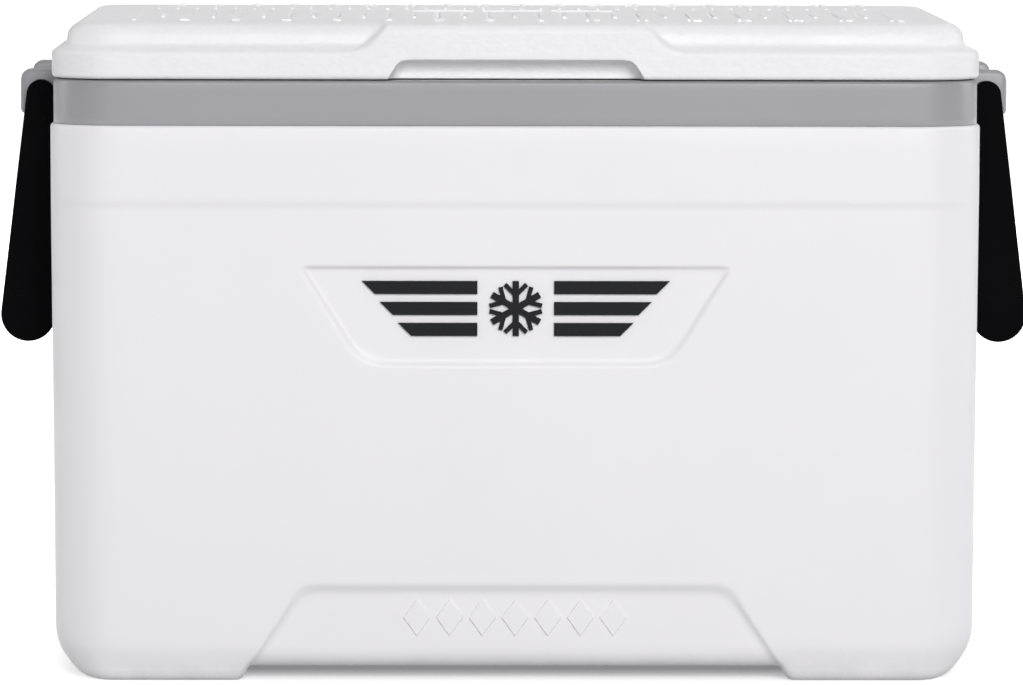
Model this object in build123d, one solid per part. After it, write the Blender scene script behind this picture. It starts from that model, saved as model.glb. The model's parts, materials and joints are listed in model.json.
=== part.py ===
from build123d import *
import math
import os

# Hard-sided picnic cooler with a hinged lid and a swinging bail handle at each end.
# Millimetres. +Z up, +X to the cooler's right end, the badge faces -Y.
# The origin is on the floor, below the centre of the whole cooler's bounding box.

# ---- Driving dimensions ------------------------------------------------------------------
SHELL_WIDTH = 463.6          # outer shell across its top lip, along X
SHELL_DEPTH = 294.0          # outer shell across its top lip, along Y
SHELL_HEIGHT = 277.1         # floor to the shell's top lip
CORNER_RADIUS = 31.0         # upright corners of the shell
SHELL_WALL = 2.8
STEP_HEIGHT = 238.0          # the belt above this line stands proud of the wall below
STEP_PROUD = 0.5
BELT_DRAFT = 0.1             # how much the belt narrows from the lip to the step, per side
WALL_DRAFT = 1.3             # how much the wall narrows from the step to the floor, per side

BAND_TOP = 299.4             # grey trim band between the shell's lip and the lid
BAND_INSET = 1.6             # band face behind the shell's lip
BAND_WALL = 3.0

LID_BOTTOM = 300.0
LID_TOP = 327.3
LID_INSET = 0.2              # lid edge inside the shell's lip
LID_WALL = 2.5

HINGE_BACKSET = 6.2          # hinge axis behind the shell's rear face
BARREL_RADIUS = 5.0
HINGE_X = 130.0              # hinge centres, each side of the middle

PIVOT_X = 240.7              # handle pivots, each side of the middle
PIVOT_Z = 287.8
GRIP_Z = 177.1

# ---- Places worked out from them ---------------------------------------------------------
BODY_Y = -(HINGE_BACKSET + BARREL_RADIUS) / 2    # middle of the shell
FRONT = BODY_Y - SHELL_DEPTH / 2
REAR = BODY_Y + SHELL_DEPTH / 2
HINGE_Y = REAR + HINGE_BACKSET
HINGE_Z = (BAND_TOP + LID_BOTTOM) / 2
FAR = 400.0                  # reach of a cutting tool past the whole cooler


# ---- Drawing helpers ---------------------------------------------------------------------
def slab(width, depth, radius, z):
    """Rounded rectangle lying level at height z, centred on the body."""
    return Pos(0, BODY_Y, z) * RectangleRounded(width, depth, radius)


def tub(sections):
    """Solid through level rounded rectangles, each given as (width, depth, radius, z)."""
    return loft([slab(*section) for section in sections], ruled=True)


def lip_size(inset):
    """Width and depth of a rounded rectangle set in from the shell's top lip."""
    return SHELL_WIDTH - 2 * inset, SHELL_DEPTH - 2 * inset


def along_x(outline, x_low, x_high):
    """Outline drawn in Y and Z, as a solid from x_low to x_high."""
    return Pos(x_low, 0, 0) * extrude(Plane.YZ * outline, x_high - x_low)


def along_y(outline, y_low, y_high):
    """Outline drawn in X and Z, as a solid from y_low to y_high."""
    return Pos(0, y_high, 0) * extrude(Plane.XZ * outline, y_high - y_low)


def shape(*points):
    """Flat polygon through the points, left where they lie."""
    return Polygon(*points, align=None)


def rod_x(radius, x_low, x_high, y, z):
    """Round bar along X."""
    return along_x(Pos(y, z) * Circle(radius), x_low, x_high)


def rod_y(radius, y_low, y_high, x, z):
    """Round bar along Y."""
    return along_y(Pos(x, z) * Circle(radius), y_low, y_high)


# ---- Outer shell: one white moulding with four corner feet ---------------------------------
END_CORNER_RADIUS = 26.0     # floor edge at the two ends
CHAMFER_HEIGHT = 20.0        # floor edge along the front and rear
CHAMFER_INSET = 4.5
CHAMFER_TOP_RADIUS = 25.0
CHAMFER_FOOT_RADIUS = 4.0
LIP_RADIUS = 1.5

FOOT_HEIGHT = 7.0            # underside of the arches above the floor
PANEL_TOP = 49.8             # top of the recessed panel over each arch
PANEL_DEPTH = 3.5
ARCH_FRONT = (105.5, 137.0)  # half-width of the front and rear arches, at the top and floor
ARCH_END = (55.0, 76.0)      # the same for the two end arches
ARCH_EDGE_RADIUS = 8.5       # rounding where a panel turns under the base

BADGE_PANEL_Z = (157.4, 207.4)
BADGE_PANEL_HALF = (76.0, 106.0)
BADGE_PANEL_DEPTH = 2.5
BADGE_PANEL_CORNER = 6.0

EMBLEM_COUNT = 7             # raised lozenges on the front panel
EMBLEM_LENGTH = 114.0
EMBLEM_HEIGHT = 19.0
EMBLEM_Z = 32.0
EMBLEM_PROUD = 1.0
EMBLEM_FILL = 0.84           # part of each lozenge's pitch that it covers

CAVITY_FLOOR = FOOT_HEIGHT + SHELL_WALL
CAVITY_EDGE_RADIUS = 16.0


def lower_inset():
    """How far the wall stands behind the lip just below the step."""
    return BELT_DRAFT + STEP_PROUD


def wall_block(inset, z_low, floor_radius):
    """The shell's body without its recesses, set in by a wall thickness or by nothing."""
    radius = CORNER_RADIUS - inset
    below = lower_inset() + inset
    foot = below + WALL_DRAFT
    lower = tub([(*lip_size(foot), radius, z_low), (*lip_size(below), radius, STEP_HEIGHT)])
    if floor_radius:
        lower = fillet(lower.faces().sort_by(Axis.Z)[0].edges(), floor_radius)
    belt = tub(
        [(*lip_size(BELT_DRAFT + inset), radius, STEP_HEIGHT), (*lip_size(inset), radius, SHELL_HEIGHT)]
    )
    return lower, belt


def end_silhouette():
    """Front view of the shell: round lower corners."""
    low = SHELL_WIDTH / 2 - lower_inset() - WALL_DRAFT
    high = SHELL_WIDTH / 2 + LIP_RADIUS
    outline = shape((-low, 0), (low, 0), (high, SHELL_HEIGHT), (-high, SHELL_HEIGHT))
    return fillet(outline.vertices().sort_by(Axis.Y)[:2], END_CORNER_RADIUS)


def side_silhouette():
    """End view of the shell: a steep chamfer along the front and rear floor edges."""
    low = SHELL_DEPTH / 2 - lower_inset() - WALL_DRAFT
    high = SHELL_DEPTH / 2 + LIP_RADIUS
    floor = low - CHAMFER_INSET
    outline = shape(
        (-floor, 0),
        (floor, 0),
        (low, CHAMFER_HEIGHT),
        (high, SHELL_HEIGHT),
        (-high, SHELL_HEIGHT),
        (-low, CHAMFER_HEIGHT),
    )
    points = outline.vertices().sort_by(Axis.Y)
    outline = fillet(points[:2], CHAMFER_FOOT_RADIUS)
    knees = [v for v in outline.vertices() if abs(v.Y - CHAMFER_HEIGHT) < LIP_RADIUS]
    return Pos(BODY_Y, 0) * fillet(knees, CHAMFER_TOP_RADIUS)


def arch(half_widths, grow):
    """Trapezoid over an arch, from below the floor to the top of its panel."""
    top, foot = half_widths
    return shape(
        (-foot - grow, 0),
        (foot + grow, 0),
        (top + grow, PANEL_TOP + grow),
        (-top - grow, PANEL_TOP + grow),
    )


def arch_head(half_widths):
    """Half-width of an arch's gap at the underside of the base."""
    top, foot = half_widths
    return foot - (foot - top) * FOOT_HEIGHT / PANEL_TOP


def arch_gap(half_widths):
    """Trapezoid of the open gap under an arch, between two feet."""
    head = arch_head(half_widths)
    foot = half_widths[1]
    return shape((-foot, 0), (foot, 0), (head, FOOT_HEIGHT), (-head, FOOT_HEIGHT))


def panels(grow):
    """Cutters for the recessed panels over the four arches, grown by a wall or by nothing."""
    depth = lower_inset() + PANEL_DEPTH + grow
    outline_front = arch(ARCH_FRONT, grow)
    outline_end = Pos(BODY_Y, 0) * arch(ARCH_END, grow)
    inner_y = SHELL_DEPTH / 2 - depth
    inner_x = SHELL_WIDTH / 2 - depth
    return [
        along_y(outline_front, BODY_Y - FAR, BODY_Y - inner_y),
        along_y(outline_front, BODY_Y + inner_y, BODY_Y + FAR),
        along_x(outline_end, -FAR, -inner_x),
        along_x(outline_end, inner_x, FAR),
    ]


def badge_panel(grow):
    """Cutter for the badge's trapezoid recess in the front wall."""
    low, high = BADGE_PANEL_Z
    half_low, half_high = BADGE_PANEL_HALF
    outline = shape(
        (-half_low - grow, low - grow),
        (half_low + grow, low - grow),
        (half_high + grow, high + grow),
        (-half_high - grow, high + grow),
    )
    outline = fillet(outline.vertices(), BADGE_PANEL_CORNER)
    return along_y(outline, BODY_Y - FAR, badge_floor() + grow)


def badge_floor():
    """Y of the badge recess's floor."""
    return FRONT + lower_inset() + BADGE_PANEL_DEPTH


def turned_edges():
    """Cutters that round each panel's lower edge as it turns under the base."""
    radius = ARCH_EDGE_RADIUS
    corner = Rectangle(radius, radius, align=(Align.MIN, Align.MIN)) - Pos(radius, radius) * Circle(radius)
    depth = lower_inset() + PANEL_DEPTH
    cutters = []
    reach = arch_head(ARCH_FRONT)
    front = Pos(FRONT + depth, FOOT_HEIGHT) * corner
    cutters.append(along_x(front, -reach, reach))
    rear = Pos(REAR - depth, FOOT_HEIGHT) * mirror(corner, Plane.YZ)
    cutters.append(along_x(rear, -reach, reach))
    reach = arch_head(ARCH_END)
    left = Pos(-SHELL_WIDTH / 2 + depth, FOOT_HEIGHT) * corner
    cutters.append(along_y(left, BODY_Y - reach, BODY_Y + reach))
    right = Pos(SHELL_WIDTH / 2 - depth, FOOT_HEIGHT) * mirror(corner, Plane.YZ)
    cutters.append(along_y(right, BODY_Y - reach, BODY_Y + reach))
    return cutters


def emblem():
    """A row of plain raised lozenges on the front panel."""
    floor = FRONT + lower_inset() + PANEL_DEPTH
    pitch = EMBLEM_LENGTH / EMBLEM_COUNT
    half_x = pitch * EMBLEM_FILL / 2
    half_z = EMBLEM_HEIGHT / 2
    lozenge = shape((-half_x, 0), (0, -half_z), (half_x, 0), (0, half_z))
    raised = []
    for index in range(EMBLEM_COUNT):
        x = (index - (EMBLEM_COUNT - 1) / 2) * pitch
        raised.append(along_y(Pos(x, EMBLEM_Z) * lozenge, floor - EMBLEM_PROUD, floor + SHELL_WALL / 2))
    return raised


def shell_cavity():
    """The room inside the shell, which the foam fills around the liner."""
    lower, belt = wall_block(SHELL_WALL, CAVITY_FLOOR, CAVITY_EDGE_RADIUS)
    room = lower + belt
    room -= panels(SHELL_WALL)
    return room - badge_panel(SHELL_WALL)


def outer_shell():
    lower, belt = wall_block(0, 0, 0)
    belt = fillet(belt.faces().sort_by(Axis.Z)[-1].edges(), LIP_RADIUS)
    body = lower + belt
    body &= along_y(end_silhouette(), -FAR, FAR)
    body &= along_x(side_silhouette(), -FAR, FAR)
    body -= panels(0)
    body -= badge_panel(0)
    body -= along_y(arch_gap(ARCH_FRONT), -FAR, FAR)
    body -= along_x(Pos(BODY_Y, 0) * arch_gap(ARCH_END), -FAR, FAR)
    body -= turned_edges()
    body += emblem()
    return body - shell_cavity()


# ---- Front badge: plain black snowflake between tapered stripes ----------------------------
BADGE_LENGTH = 152.6
BADGE_HEIGHT = 27.3
BADGE_CENTRE = (0.0, 186.6)
BADGE_THICKNESS = 1.6
STRIPE_COUNT = 3
STRIPE_FILL = 0.62           # part of each stripe's pitch that is solid
STRIPE_START = 19.0
STRIPE_STEP = 9.0            # each lower stripe is this much shorter
FLAKE_BAR = 3.2
FLAKE_TWIG = (7.6, 2.2)      # length and width of the short branches
FLAKE_FORK = 0.24            # where they leave the arm, as part of the badge's height


def front_badge():
    front = badge_floor() - BADGE_THICKNESS
    pitch = BADGE_HEIGHT / (STRIPE_COUNT - 1 + STRIPE_FILL)
    height = pitch * STRIPE_FILL
    outline = Sketch()
    for index in range(STRIPE_COUNT):
        top = BADGE_HEIGHT / 2 - index * pitch
        reach = BADGE_LENGTH / 2 - index * STRIPE_STEP
        stripe = shape(
            (STRIPE_START, top - height),
            (reach - height, top - height),
            (reach, top),
            (STRIPE_START, top),
        )
        outline += [stripe, mirror(stripe, Plane.YZ)]
    for turn in range(3):
        outline += Rot(0, 0, 90 + 60 * turn) * Rectangle(BADGE_HEIGHT, FLAKE_BAR)
    for turn in range(6):
        branch = Rot(0, 0, 45) * Rectangle(*FLAKE_TWIG, align=(Align.MIN, Align.CENTER))
        pair = Pos(BADGE_HEIGHT * FLAKE_FORK, 0) * (branch + mirror(branch, Plane.XZ))
        outline += Rot(0, 0, 90 + 60 * turn) * pair
    return along_y(Pos(*BADGE_CENTRE) * outline, front, badge_floor())


# ---- Liner, foam and trim band --------------------------------------------------------------
TUB_TOP = (408.0, 238.0, 26.0)       # outside of the white tub at its rim: width, depth, corner
TUB_FOOT = (392.0, 222.0, 22.0)
TUB_FLOOR = 34.0
TUB_WALL = 2.2
TUB_EDGE_RADIUS = 16.0
FLANGE_THICKNESS = 2.6
FLANGE_TOP = BAND_TOP - 0.2

EAR_Y = (44.0, 56.0)         # each ear, out from the middle of the end
EAR_REACH = 250.4
EAR_BOTTOM = 278.5
EAR_TOP = 301.0
EAR_CREST = 232.6            # the ear rises above the band outside this, clear of the lid
EAR_CORNER_RADIUS = 5.5
EAR_ROOT = 1.5               # how far an ear is buried in the band
BAND_EDGE_RADIUS = 1.5

PIN_RADIUS = 3.0             # handle pivot pins
PIN_REACH = 6.5              # pin past the ear's outer face, inside the arm
PIN_HEAD_RADIUS = 5.0
PIN_HEAD = 1.5


def band_room():
    """The room inside the trim band, under the liner's flange."""
    return tub(
        [
            (*lip_size(BAND_INSET + BAND_WALL), CORNER_RADIUS - BAND_INSET - BAND_WALL, z)
            for z in (SHELL_HEIGHT, FLANGE_TOP - FLANGE_THICKNESS)
        ]
    )


def tub_form(inset, z_top):
    """The tub's outside, or its inside when set in by the wall."""
    foot = (TUB_FOOT[0] - 2 * inset, TUB_FOOT[1] - 2 * inset, TUB_FOOT[2] - inset, TUB_FLOOR + inset)
    top = (TUB_TOP[0] - 2 * inset, TUB_TOP[1] - 2 * inset, TUB_TOP[2] - inset, z_top)
    form = tub([foot, top])
    return fillet(form.faces().sort_by(Axis.Z)[0].edges(), TUB_EDGE_RADIUS - inset)


def inner_liner():
    band_inside = BAND_INSET + BAND_WALL
    flange = tub(
        [
            (*lip_size(band_inside), CORNER_RADIUS - band_inside, z)
            for z in (FLANGE_TOP - FLANGE_THICKNESS, FLANGE_TOP)
        ]
    )
    return tub_form(0, FLANGE_TOP) + flange - tub_form(TUB_WALL, FLANGE_TOP)


def body_foam(screws):
    return shell_cavity() + band_room() - tub_form(0, FLANGE_TOP) - screws


def ear(side, end):
    """One handle ear: side is the cooler's end, end is towards its front or rear."""
    band_face = SHELL_WIDTH / 2 - BAND_INSET
    outline = shape(
        (band_face - EAR_ROOT, EAR_BOTTOM),
        (EAR_REACH, EAR_BOTTOM),
        (EAR_REACH, EAR_TOP),
        (EAR_CREST, EAR_TOP),
        (EAR_CREST, BAND_TOP),
        (band_face - EAR_ROOT, BAND_TOP),
    )
    outer = outline.vertices().sort_by(Axis.X)[-2:].sort_by(Axis.Y)
    outline = fillet(outer[-1], EAR_CORNER_RADIUS)
    block = along_y(outline, *EAR_Y)
    return place_at_handle(block, side, end)


def place_at_handle(piece, side, end):
    """A piece drawn at the right end's rear half, put at the given end and half."""
    if side < 0:
        piece = mirror(piece, Plane.YZ)
    if end < 0:
        piece = mirror(piece, Plane.XZ)
    return Pos(0, BODY_Y, 0) * piece


def pivot_pin(side, end):
    """Pin pushed outward through an ear, with its head on the ear's inner face."""
    inner, outer = EAR_Y
    shank = rod_y(PIN_RADIUS, inner, outer + PIN_REACH, PIVOT_X, PIVOT_Z)
    head = rod_y(PIN_HEAD_RADIUS, inner - PIN_HEAD, inner, PIVOT_X, PIVOT_Z)
    return place_at_handle(shank + head, side, end)


def trim_band(screws):
    outer = tub([(*lip_size(BAND_INSET), CORNER_RADIUS - BAND_INSET, z) for z in (SHELL_HEIGHT, BAND_TOP)])
    outer = fillet(outer.faces().sort_by(Axis.Z)[-1].edges(), BAND_EDGE_RADIUS)
    inside = BAND_INSET + BAND_WALL
    hole = tub([(*lip_size(inside), CORNER_RADIUS - inside, z) for z in (SHELL_HEIGHT - 1, BAND_TOP + 1)])
    band = outer - hole
    for side in (-1, 1):
        for end in (-1, 1):
            band += ear(side, end)
            band -= pivot_pin(side, end)
    return band - screws


# ---- Handles --------------------------------------------------------------------------------
ARM_Y = (56.8, 66.0)         # each arm, out from the middle of the end
ARM_TOP_RADIUS = 8.1
ARM_LOBE_RADIUS = 13.9
ARM_LOBE_X = 246.3
ARM_EDGE_RADIUS = 1.2
ARM_BORE_DEPTH = 7.0
ARM_BORE_CLEARANCE = 0.05    # radial, round the pivot pin

CORE_X = 247.5
CORE_RADIUS = 6.0
GRIP_END_RADIUS = 11.2
GRIP_MIDDLE_RADIUS = 14.4
GRIP_END_GAP = 0.3


def handle_frame(side):
    """Black bail: two arms joined by a round core."""
    circles = [
        Pos(PIVOT_X, PIVOT_Z) * Circle(ARM_TOP_RADIUS),
        Pos(ARM_LOBE_X, GRIP_Z) * Circle(ARM_LOBE_RADIUS),
    ]
    outline = make_hull(circles[0].edges() + circles[1].edges())
    arm = along_y(outline, *ARM_Y)
    arm = fillet(arm.faces().sort_by(Axis.Y)[-1].edges(), ARM_EDGE_RADIUS)
    bore_radius = PIN_RADIUS + ARM_BORE_CLEARANCE
    bore = rod_y(bore_radius, ARM_Y[0], ARM_Y[0] + ARM_BORE_DEPTH, PIVOT_X, PIVOT_Z)
    core = rod_y(CORE_RADIUS, 0, ARM_Y[0] + ARM_EDGE_RADIUS, CORE_X, GRIP_Z)
    half = arm - bore + core
    return place_at_handle(half, side, 1) + place_at_handle(half, side, -1)


def handle_grip(side):
    """Barrel-shaped sleeve round the bail's core, fullest in the middle."""
    half = ARM_Y[0] - GRIP_END_GAP
    profile = make_face(
        [
            Line((-half, CORE_RADIUS), (-half, GRIP_END_RADIUS)),
            ThreePointArc((-half, GRIP_END_RADIUS), (0, GRIP_MIDDLE_RADIUS), (half, GRIP_END_RADIUS)),
            Line((half, GRIP_END_RADIUS), (half, CORE_RADIUS)),
            Line((half, CORE_RADIUS), (-half, CORE_RADIUS)),
        ]
    )
    sleeve = revolve(profile, Axis.X)
    return Pos(side * CORE_X, BODY_Y, GRIP_Z) * Rot(0, 0, 90) * sleeve


# ---- Lid ------------------------------------------------------------------------------------
SHOULDER = (314.0, 317.1)    # heights where the lower tier starts and ends its shoulder
SHOULDER_INSET = 6.8
PLATEAU_INSET = 11.5
PLATEAU_RADIUS = 3.5
LID_CORNER = CORNER_RADIUS - LID_INSET
LID_CORNER_SHRINK = 0.8      # corners tighten by this part of each step inward
LID_EDGE_RADIUS = 1.8

BULGE_HALF = (64.8, 78.0)    # raised middle of the front edge, at the top and foot
BULGE_FOOT = 312.0
BULGE_DEPTH = 30.0

SCOOP_HALF = (57.0, 63.2)    # finger scoop, at its top and at the lid's lower edge
SCOOP_TOP = 309.6
SCOOP_DEPTH = 14.0
SCOOP_RADIUS = 4.0

PLUG_TOP = (395.0, 226.0, 20.0)      # the part of the lid that drops into the tub
PLUG_FOOT = (391.0, 222.0, 18.0)
PLUG_BOTTOM = 289.4
PANEL_BOTTOM = LID_BOTTOM + 0.2
PANEL_THICKNESS = 2.2
PLUG_WALL = 2.0
LID_FRONT = FRONT + LID_INSET
LID_REAR = REAR - LID_INSET


def lid_form(inset, z_low):
    """The lid's outside, or its inside when set in by the wall."""
    steps = [
        (0, z_low),
        (0, SHOULDER[0] - inset),
        (SHOULDER_INSET, SHOULDER[1] - inset),
        (PLATEAU_INSET, LID_TOP - inset),
    ]
    sections = []
    for step, z in steps:
        radius = LID_CORNER - inset - step * LID_CORNER_SHRINK
        sections.append((*lip_size(LID_INSET + inset + step), radius, z))
    form = tub(sections)
    form = fillet(form.faces().sort_by(Axis.Z)[-1].edges(), PLATEAU_RADIUS - inset / 2)
    top, foot = BULGE_HALF
    high = LID_TOP - inset
    front = LID_FRONT + inset
    outline = shape(
        (-foot + inset, BULGE_FOOT - inset),
        (foot - inset, BULGE_FOOT - inset),
        (top - inset, high),
        (-top + inset, high),
    )
    bulge = along_y(outline, front, front + BULGE_DEPTH)
    brow = bulge.edges().filter_by(Axis.X).sort_by(Axis.Z)[-2:].sort_by(Axis.Y)[0]
    return form + fillet(brow, PLATEAU_RADIUS - inset / 2)


def scoop(grow):
    """Cutter for the finger scoop under the middle of the lid's front edge."""
    top, foot = SCOOP_HALF
    outline = shape(
        (-foot - grow, LID_BOTTOM - 1),
        (foot + grow, LID_BOTTOM - 1),
        (top + grow, SCOOP_TOP + grow),
        (-top - grow, SCOOP_TOP + grow),
    )
    outline = fillet(outline.vertices().sort_by(Axis.Y)[-2:], SCOOP_RADIUS)
    return along_y(outline, LID_FRONT - 1, LID_FRONT + SCOOP_DEPTH + grow)


def lid_room():
    """The room inside the lid's shell, above its inner panel."""
    return lid_form(LID_WALL, PANEL_BOTTOM + PANEL_THICKNESS) - scoop(LID_WALL)


def plug_form(inset):
    """The plug's outside, or its inside when set in by the wall."""
    foot = (PLUG_FOOT[0] - 2 * inset, PLUG_FOOT[1] - 2 * inset, PLUG_FOOT[2] - inset, PLUG_BOTTOM + inset)
    head_z = PANEL_BOTTOM + PANEL_THICKNESS
    head = (PLUG_TOP[0] - 2 * inset, PLUG_TOP[1] - 2 * inset, PLUG_TOP[2] - inset, head_z)
    return tub([foot, head])


def lid_shell(screws):
    outer = lid_form(0, LID_BOTTOM)
    outer = fillet(outer.faces().sort_by(Axis.Z)[0].edges(), LID_EDGE_RADIUS)
    return outer - (lid_form(LID_WALL, LID_BOTTOM - 1) - scoop(LID_WALL)) - scoop(0) - screws


def lid_liner():
    inside = LID_INSET + LID_WALL
    panel = tub(
        [
            (*lip_size(inside), CORNER_RADIUS - inside, z)
            for z in (PANEL_BOTTOM, PANEL_BOTTOM + PANEL_THICKNESS)
        ]
    )
    panel -= scoop(LID_WALL)
    return panel + plug_form(0) - plug_form(PLUG_WALL)


def lid_foam(screws):
    return lid_room() + plug_form(PLUG_WALL) - screws


# ---- Hinges ---------------------------------------------------------------------------------
LEAF_HALF_LENGTH = 25.0
LEAF_THICKNESS = 2.4
BODY_LEAF_Z = (280.0, 296.0)
LID_LEAF_Z = (303.6, 313.4)
MIDDLE_HALF_LENGTH = 11.0    # the lid's knuckle
KNUCKLE_GAP = 0.4
HINGE_PIN_RADIUS = 2.0
HINGE_PIN_CLEARANCE = 0.05   # radial, in the lid's knuckle

SCREW_OFFSETS = (-18.0, 0.0, 18.0)
SCREW_RADIUS = 1.6
SCREW_HEAD_RADIUS = 3.0
SCREW_HEAD = 1.4
SCREW_LENGTH = 7.0
SCREW_MARGIN = 1.4           # head to the body leaf's lower edge
BAND_REAR = REAR - BAND_INSET


def body_leaf(x):
    """Leaf on the band, with a knuckle at each end of the hinge."""
    low, high = BODY_LEAF_Z
    face = BAND_REAR + LEAF_THICKNESS
    plate = along_x(
        shape((BAND_REAR, low), (face, low), (face, high), (BAND_REAR, high)),
        x - LEAF_HALF_LENGTH,
        x + LEAF_HALF_LENGTH,
    )
    knuckle = body_knuckle_section()
    inner = MIDDLE_HALF_LENGTH + KNUCKLE_GAP
    leaf = plate + along_x(knuckle, x - LEAF_HALF_LENGTH, x - inner)
    leaf += along_x(knuckle, x + inner, x + LEAF_HALF_LENGTH)
    return leaf - hinge_pin(x) - hinge_screws(x, BAND_REAR, body_screw_z())


def body_knuckle_section():
    """Barrel and the web that carries it up from the plate."""
    low, high = BODY_LEAF_Z
    face = BAND_REAR + LEAF_THICKNESS
    slope = math.radians(35)
    web = shape(
        (BAND_REAR, high),
        (BAND_REAR, high - 6),
        (face, high - 8),
        (HINGE_Y + BARREL_RADIUS * math.cos(slope), HINGE_Z - BARREL_RADIUS * math.sin(slope)),
        (HINGE_Y - BARREL_RADIUS, HINGE_Z),
    )
    return web + Pos(HINGE_Y, HINGE_Z) * Circle(BARREL_RADIUS)


def lid_leaf(x):
    """Leaf on the lid's rear edge, with the middle knuckle."""
    low, high = LID_LEAF_Z
    face = LID_REAR + LEAF_THICKNESS
    plate = along_x(
        shape((LID_REAR, low), (face, low), (face, high), (LID_REAR, high)),
        x - LEAF_HALF_LENGTH,
        x + LEAF_HALF_LENGTH,
    )
    slope = math.radians(60)
    web = shape(
        (LID_REAR, low),
        (HINGE_Y - BARREL_RADIUS, HINGE_Z),
        (HINGE_Y + BARREL_RADIUS * math.cos(slope), HINGE_Z + BARREL_RADIUS * math.sin(slope)),
        (face, high - 4),
        (LID_REAR, high - 2),
    )
    section = web + Pos(HINGE_Y, HINGE_Z) * Circle(BARREL_RADIUS)
    leaf = plate + along_x(section, x - MIDDLE_HALF_LENGTH, x + MIDDLE_HALF_LENGTH)
    bore = rod_x(HINGE_PIN_RADIUS + HINGE_PIN_CLEARANCE, x - FAR, x + FAR, HINGE_Y, HINGE_Z)
    return leaf - bore - hinge_screws(x, LID_REAR, lid_screw_z())


def hinge_pin(x):
    return rod_x(HINGE_PIN_RADIUS, x - LEAF_HALF_LENGTH, x + LEAF_HALF_LENGTH, HINGE_Y, HINGE_Z)


def body_screw_z():
    return BODY_LEAF_Z[0] + SCREW_HEAD_RADIUS + SCREW_MARGIN


def lid_screw_z():
    return sum(LID_LEAF_Z) / 2


def hinge_screws(x, face, z):
    """The round-headed screws of one leaf."""
    screws = []
    head_seat = face + LEAF_THICKNESS
    for offset in SCREW_OFFSETS:
        shank = rod_y(SCREW_RADIUS, head_seat - SCREW_LENGTH, head_seat, x + offset, z)
        head = rod_y(SCREW_HEAD_RADIUS, head_seat, head_seat + SCREW_HEAD, x + offset, z)
        screws.append(shank + head)
    return screws


# ---- Write every piece -----------------------------------------------------------------------
def build():
    body_screws = []
    lid_screws = []
    for x in (-HINGE_X, HINGE_X):
        body_screws += hinge_screws(x, BAND_REAR, body_screw_z())
        lid_screws += hinge_screws(x, LID_REAR, lid_screw_z())
    pieces = {
        "outer_shell": outer_shell(),
        "body_foam": body_foam(body_screws),
        "inner_liner": inner_liner(),
        "trim_band": trim_band(body_screws),
        "front_badge": front_badge(),
        "lid_shell": lid_shell(lid_screws),
        "lid_foam": lid_foam(lid_screws),
        "lid_liner": lid_liner(),
        "hinge_body_screws": Compound(children=body_screws),
        "hinge_lid_screws": Compound(children=lid_screws),
    }
    for name, x in (("left", -HINGE_X), ("right", HINGE_X)):
        pieces[f"hinge_body_leaf_{name}"] = body_leaf(x)
        pieces[f"hinge_lid_leaf_{name}"] = lid_leaf(x)
        pieces[f"hinge_pin_{name}"] = hinge_pin(x)
    for name, side in (("left", -1), ("right", 1)):
        pieces[f"handle_frame_{name}"] = handle_frame(side)
        pieces[f"handle_grip_{name}"] = handle_grip(side)
        pieces[f"handle_pins_{name}"] = Compound(children=[pivot_pin(side, end) for end in (-1, 1)])
    return pieces


os.makedirs("parts", exist_ok=True)
for node, solid in build().items():
    export_step(solid, f"parts/{node}.step")
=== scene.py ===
import json
import math

import bmesh
import bpy
import numpy as np
from mathutils import Matrix, Vector


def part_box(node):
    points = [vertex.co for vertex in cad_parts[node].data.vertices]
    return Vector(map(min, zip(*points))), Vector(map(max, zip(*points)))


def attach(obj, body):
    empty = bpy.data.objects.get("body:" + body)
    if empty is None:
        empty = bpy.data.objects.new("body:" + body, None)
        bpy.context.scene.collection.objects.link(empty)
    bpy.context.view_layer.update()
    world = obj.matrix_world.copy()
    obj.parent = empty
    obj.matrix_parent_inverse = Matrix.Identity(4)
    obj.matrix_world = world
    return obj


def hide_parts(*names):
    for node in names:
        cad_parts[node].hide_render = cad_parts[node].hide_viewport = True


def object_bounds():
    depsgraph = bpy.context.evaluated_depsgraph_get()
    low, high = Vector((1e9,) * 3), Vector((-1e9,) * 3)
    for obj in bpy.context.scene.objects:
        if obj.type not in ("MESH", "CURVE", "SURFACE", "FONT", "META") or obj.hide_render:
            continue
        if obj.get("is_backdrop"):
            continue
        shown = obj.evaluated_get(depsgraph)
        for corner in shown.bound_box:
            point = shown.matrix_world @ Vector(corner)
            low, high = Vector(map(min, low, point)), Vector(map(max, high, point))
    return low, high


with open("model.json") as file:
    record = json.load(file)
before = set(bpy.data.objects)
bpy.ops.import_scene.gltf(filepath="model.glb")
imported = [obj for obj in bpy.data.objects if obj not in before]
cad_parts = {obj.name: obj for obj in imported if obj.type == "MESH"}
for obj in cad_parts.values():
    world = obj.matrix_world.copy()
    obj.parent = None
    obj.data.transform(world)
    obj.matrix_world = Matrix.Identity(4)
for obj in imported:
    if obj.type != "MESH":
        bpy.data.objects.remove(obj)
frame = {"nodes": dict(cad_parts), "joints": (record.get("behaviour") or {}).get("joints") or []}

CAD_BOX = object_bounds()

# A hard-sided picnic cooler: moulded shell, grey band, grained lid with a ruler, two bail handles.
# Everything is in metres, in the CAD's frame: +Z up, the front faces -Y.

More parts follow.
